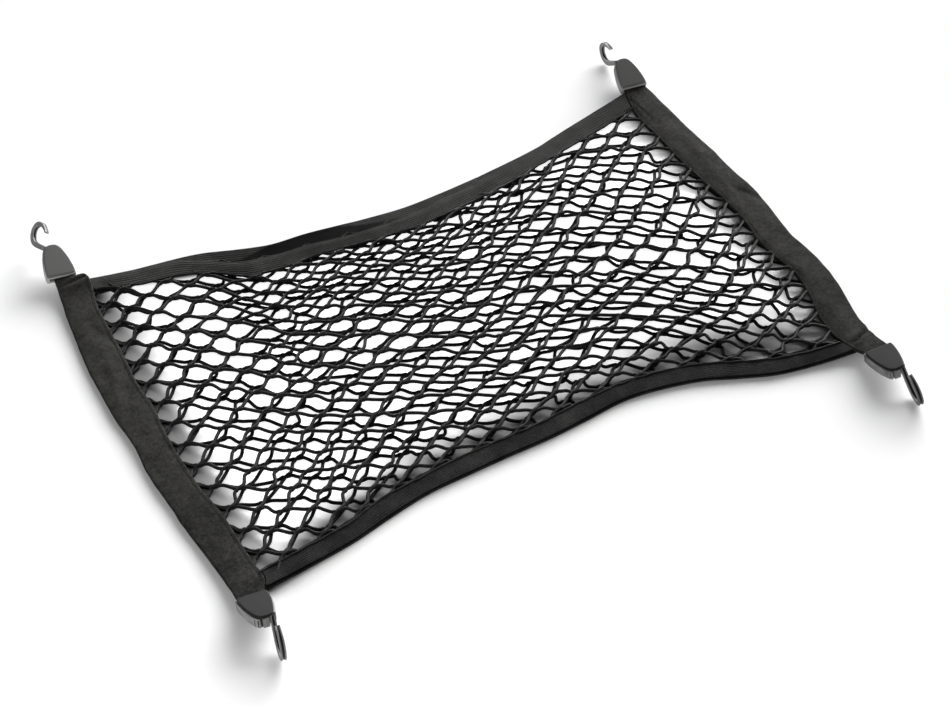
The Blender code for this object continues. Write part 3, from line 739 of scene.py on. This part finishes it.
def cordPiece(name, lines, sides):
    points, edges, thick = [], [], []
    for line, radius in lines:
        edges += [(len(points) + n, len(points) + n + 1) for n in range(len(line) - 1)]
        points += line
        thick += [radius * mm] * len(line)
    mesh = bpy.data.meshes.new(name)
    mesh.from_pydata([tuple((point + shift) * mm) for point in points], edges, [])
    mesh.attributes.new("thick", "FLOAT", "POINT").data.foreach_set("value", thick)
    piece = addObject(name, mesh)
    grower = piece.modifiers.new("grow", "NODES")
    grower.node_group = roundCord
    grower[cordKeys["Sides"]], grower[cordKeys["Look"]] = sides, looks["cord"]
    mesh = evaluated(piece)
    piece.modifiers.remove(grower)
    piece.data = mesh
    return piece


for layer in netLayers:
    piece = cordPiece(f"cord_net_{layer}", netLines(layer), net["sides"])
    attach(piece, "root")
    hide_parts(f"net_{layer}")
    print("net layer", layer, "faces:", len(piece.data.polygons))

for side, lines in (("left", leftStitches), ("right", rightStitches)):
    piece = cordPiece(f"{side}_tape_stitches", lines, seam["sides"])
    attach(piece, "root")
    print(side, "stitches:", len(lines))

# clips and hooks, each in the clip's own frame: right, outward, up
clipPlan = {
    "along": (0, 1, 5, 12, 22, 30, 36, 40, 43, 44),
    "half": (15.4, 16.2, 16.6, 16.2, 14.8, 13.0, 11.2, 9.4, 6.6, 3.0),
}
clipSizes = {"length": 44.0, "steps": 14, "ridgePitch": 2.0, "ridgeDepth": 0.16, "ridges": (9.0, 38.0),
             "least": 1.0, "sharp": 35.0}
bodyLevels = {  # ridges show only on the wall
    "up": (-6.5, -6.3, -5.9, -5.2, -4.6, -4.2, 2.0, 2.4, 2.9, 3.5, 3.9, 4.0),
    "inset": (1.8, 1.1, 0.6, 0.15, 0.0, 0.0, 0.0, 0.0, 0.05, 0.2, 0.5, 1.0),
    "ridged": (0, 0, 0, 0, 0, 1, 1, 0, 0, 0, 0, 0),
}
lidLevels = {
    "up": (4.3, 4.4, 5.7, 6.1, 6.35, 6.48, 6.5),
    "inset": (1.7, 1.4, 1.4, 1.5, 1.7, 2.1, 2.8),
    "ridged": (0,) * 7,
}
clipCuts = {
    "mouth": ((-13.6, -2, -2.3), (13.6, 7.0, 2.3)),
    "hook slot": ((-12.0, 38.0, -8.0), (-2.2, 46.0, 5.0)),
    "side slot": ((3.6, 40.0, -8.0), (6.4, 46.0, 5.0)),
    "outer slot": ((7.3, 39.4, -8.0), (8.6, 46.0, 2.6)),
    "far slot": ((9.5, 36.9, -8.0), (10.6, 44.0, 2.6)),
}
boxFaces = ((0, 1, 3, 2), (4, 6, 7, 5), (0, 4, 5, 1), (2, 3, 7, 6), (0, 2, 6, 4), (1, 5, 7, 3))


def planRing(inset, up, ridged):
    shrink = (clipSizes["length"] - 2 * inset) / clipSizes["length"]
    plan = smoothRows(list(zip(clipPlan["along"], clipPlan["half"])), clipSizes["steps"])
    first, last = clipSizes["ridges"]
    ring = []
    for side in (1, -1):
        for along, half in plan[::side]:
            groove = 0.0
            if ridged and first < along < last:
                turn = 2 * math.pi * (along - first) / clipSizes["ridgePitch"]
                groove = clipSizes["ridgeDepth"] * (0.5 - 0.5 * math.cos(turn))
            wide = max(half - inset - groove, clipSizes["least"])
            ring.append((side * wide, inset + along * shrink, up))
    return ring


def levelled(name, levels, slot):
    rings = [planRing(*row) for row in zip(levels["inset"], levels["up"], levels["ridged"])]
    return ringMesh(name, rings, slot, clipSizes["sharp"])


def cutBoxes(mesh, cuts):
    whole = addObject("uncut", mesh)
    helpers = [whole]
    for name, (low, high) in cuts.items():
        box = bpy.data.meshes.new(name)
        box.from_pydata([(x, y, z) for x in (low[0], high[0]) for y in (low[1], high[1])
                         for z in (low[2], high[2])], [], boxFaces)
        helpers.append(addObject(name, box))
        cut = whole.modifiers.new(name, "BOOLEAN")
        cut.operation, cut.solver, cut.object = "DIFFERENCE", "EXACT", helpers[-1]
    found = evaluated(whole)
    for helper in helpers:
        bpy.data.objects.remove(helper, do_unlink=True)
    found.set_sharp_from_angle(angle=math.radians(clipSizes["sharp"]))
    return found


hookLine = {
    "along": (-2, 7, 16, 23, 29, 34, 37, 38, 36.5, 33, 28, 22, 15, 9),
    "side": (0, 0, 0, 0.4, 2, 5.5, 10, 14.5, 19, 22, 23.4, 23, 20.5, 17),
    "thick": (5.5, 5.5, 5.5, 5.5, 5.5, 5.5, 5.5, 5.5, 5.5, 5.2, 4.8, 4.2, 3.2, 2.0),
}
hookSizes = {"width": 5.0, "rail": 1.35, "groove": 1.0, "share": 0.22, "round": 0.3, "roundShare": 0.45,
             "margin": 0.02, "steps": 6, "sharp": 32.0, "root": (-6.0, 42.0, 1.2)}


def hookRing(centre, normal, thick):  # a bar with a groove in its inner and its outer face
    half, width = thick / 2, hookSizes["width"] / 2
    web = width - hookSizes["rail"]
    deep = half - min(hookSizes["groove"], hookSizes["share"] * thick)
    shape = [(-half, -width), (-half, -web), (-deep, -web), (-deep, web), (-half, web), (-half, width),
             (half, width), (half, web), (deep, web), (deep, -web), (half, -web), (half, -width)]
    ring, sunk = [], []
    for index, corner in enumerate(shape):
        corner = Vector(corner)
        for other in (Vector(shape[index - 1]), Vector(shape[(index + 1) % len(shape)])):
            reach = min(hookSizes["round"], (other - corner).length * hookSizes["roundShare"])
            place = corner + (other - corner).normalized() * reach
            ring.append((centre[0] + normal[0] * place.x, centre[1] + normal[1] * place.x, place.y))
            # the groove's points, where the painted shade darkens the hook
            sunk.append(float(abs(place.x) < deep + hookSizes["margin"]
                              and abs(place.y) < web + hookSizes["margin"]))
    return ring, sunk


def hookMesh():
    rows = list(zip(hookLine["along"], hookLine["side"], hookLine["thick"]))
    rows = np.vstack([rows[:2], smoothRows(rows[2:], hookSizes["steps"])])
    slopes = np.gradient(rows[:, :2], axis=0)
    rings, sunk = [], []
    for (along, side, thick), (run, rise) in zip(rows, slopes):
        length = math.hypot(run, rise)
        ring, marks = hookRing((along, side), (-rise / length, run / length), thick)
        rings.append(ring)
        sunk += marks
    mesh = ringMesh("hook", rings, "hook", hookSizes["sharp"])
    mesh.attributes.new("sunk", "FLOAT", "POINT").data.foreach_set("value", sunk)
    return mesh


def hookMatrix(turn):
    axes = Matrix(((0, 0, 1, 0), (1, 0, 0, 0), (0, 1, 0, 0), (0, 0, 0, 1)))
    yaw = Matrix.Rotation(math.radians(-turn["yaw"]), 4, "Z")
    droop = Matrix.Rotation(math.radians(-turn["droop"]), 4, "Z")
    roll = Matrix.Rotation(math.radians(turn["roll"]), 4, "X")
    return Matrix.Translation(Vector(hookSizes["root"])) @ yaw @ axes @ droop @ roll


def setAt(name, mesh, matrix, node):
    placed = mesh.copy()
    placed.name = name
    placed.transform(Matrix.Scale(mm, 4) @ Matrix.Translation(Vector(shift)) @ matrix)
    piece = addObject(name, placed)
    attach(piece, "root")
    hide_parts(node)


bodyMesh = cutBoxes(levelled("clip body", bodyLevels, "clip_body"), clipCuts)
lidMesh = levelled("clip lid", lidLevels, "clip_lid")
oneHook = hookMesh()
for corner, clip in cornerClips.items():
    seat = clipMatrix(clip)
    setAt(f"{corner}_clip_body", bodyMesh, seat, f"clip_base_{corner}")
    setAt(f"{corner}_clip_lid", lidMesh, seat, f"clip_lid_{corner}")
    setAt(f"{corner}_hook", oneHook, seat @ hookMatrix(clip["hook"]), f"hook_{corner}")
print("clips and hooks made, faces:", len(bodyMesh.polygons), len(lidMesh.polygons), len(oneHook.polygons))

# floor, light and camera, in metres; the studio is bright towards one direction
stage = {
    "floor": 18.0, "bright": (0.73, 0.65, -0.2), "from": 0.6, "to": 1.0, "far": 37.0, "near": 0.14,
    "lamp": (-1.6, -1.4, 0.32), "lampSize": (0.8, 0.3), "lampPower": 34.0,
    "camera": (-0.6651, -1.4871, 1.5053), "lens": 78.82, "right": (0.89397, -0.44652, -0.03794),
    "down": (-0.33399, -0.60742, -0.72076), "ahead": (0.29878, 0.65701, -0.69214),
}
glow = {  # painted light: a glow that keeps the floor white under the net; painted shade: the darker strips along its left and front
    "left": (-0.334, -0.3), "right": (0.338, 0.303), "narrow": (-0.06, -0.22), "narrowBy": 0.011,
    "reach": 0.32, "back": (0.178, 0.06), "backFade": (0.0, 0.01), "front": (-0.182, 0.03, -0.05),
    "frontFade": (0.05, 0.06), "run": (0.25, 1.25), "strength": 0.9,
    "shade": 0.66, "shadeRun": (1.2, 0.2), "shadeLeft": (-0.34, -0.305), "shadeFront": (-0.008, -0.002),
    "shadeBack": (-0.004, 0.004), "shadeWide": (-0.345, 0.35), "white": 0.93, "rough": 0.9,
}


def floorLook():
    look = Look("pale floor")
    x, y = look.part(look.place(), 0), look.back()
    far = x.size() / glow["reach"]
    back = glow["back"][0] + far * far * glow["back"][1] - y
    front = y - glow["front"][0] - x * glow["front"][1] - far * far * far * glow["front"][2]
    run = front / (glow["frontFade"][0] + x * glow["frontFade"][1])
    narrow = look.fade(y, *glow["narrow"]) * glow["narrowBy"]  # both tapes lean in towards the front
    # painted light: the floor glows white under the net
    paintedGlow = (look.fade(x - narrow, *glow["left"]) * look.fade(x + narrow, *glow["right"])
           * look.fade(back, *glow["backFade"]) * look.fade(run, *glow["run"]))
    # painted shade: the floor's colour darker along the left and front inner edges
    west, east = glow["shadeWide"]
    under = look.fade(front, *glow["shadeFront"]) * look.fade(back, *glow["shadeBack"])
    under = under * (x > west) * (x < east)
    clear = (1 - look.fade(run, *glow["shadeRun"])) * look.fade(x, *glow["shadeLeft"])
    level = (1 - (1 - clear) * under * glow["shade"]) * glow["white"]
    plain = look.node("CombineXYZ", {}, {n: level for n in range(3)})
    return look.finish(plain, glow["rough"], 0.0,
                       **{"Emission Color": paintedGlow, "Emission Strength": glow["strength"]})


def studioLook():
    look = Look("studio", bpy.data.worlds)
    ahead = look.node("VectorMath", {"operation": "DOT_PRODUCT"},
                      {0: look.node("TexCoord"), 1: stage["bright"]}, output=1)
    side = look.fade(ahead, stage["from"], stage["to"], stage["near"], stage["far"])
    white = look.node("Background", {}, {"Color": (1.0, 1.0, 1.0, 1.0), "Strength": side})
    look.node("OutputWorld", {}, {"Surface": white})
    return look.material


def makeStage():
    half = stage["floor"] / 2
    mesh = bpy.data.meshes.new("floor")
    mesh.from_pydata([(-half, -half, 0), (half, -half, 0), (half, half, 0), (-half, half, 0)], [],
                     [(0, 1, 2, 3)])
    mesh.materials.append(floorLook())
    addObject("floor", mesh)
    scene = bpy.context.scene
    scene.world = studioLook()
    lamp = bpy.data.lights.new("left front light", "AREA")
    lamp.shape, lamp.energy = "RECTANGLE", stage["lampPower"]
    lamp.size, lamp.size_y = stage["lampSize"]
    light = addObject("left front light", lamp)
    light.location = stage["lamp"]
    light.rotation_euler = (-Vector(stage["lamp"])).to_track_quat("-Z", "Y").to_euler()
    axes = (stage["right"], [-v for v in stage["down"]], [-v for v in stage["ahead"]])
    view = Matrix(axes).transposed().to_4x4()
    view.translation = stage["camera"]
    camera = addObject("camera", bpy.data.cameras.new("camera"))
    camera.data.lens = stage["lens"]
    camera.matrix_world = view
    scene.camera = camera
    scene.view_settings.view_transform = "Standard"


makeStage()
print("stage made")
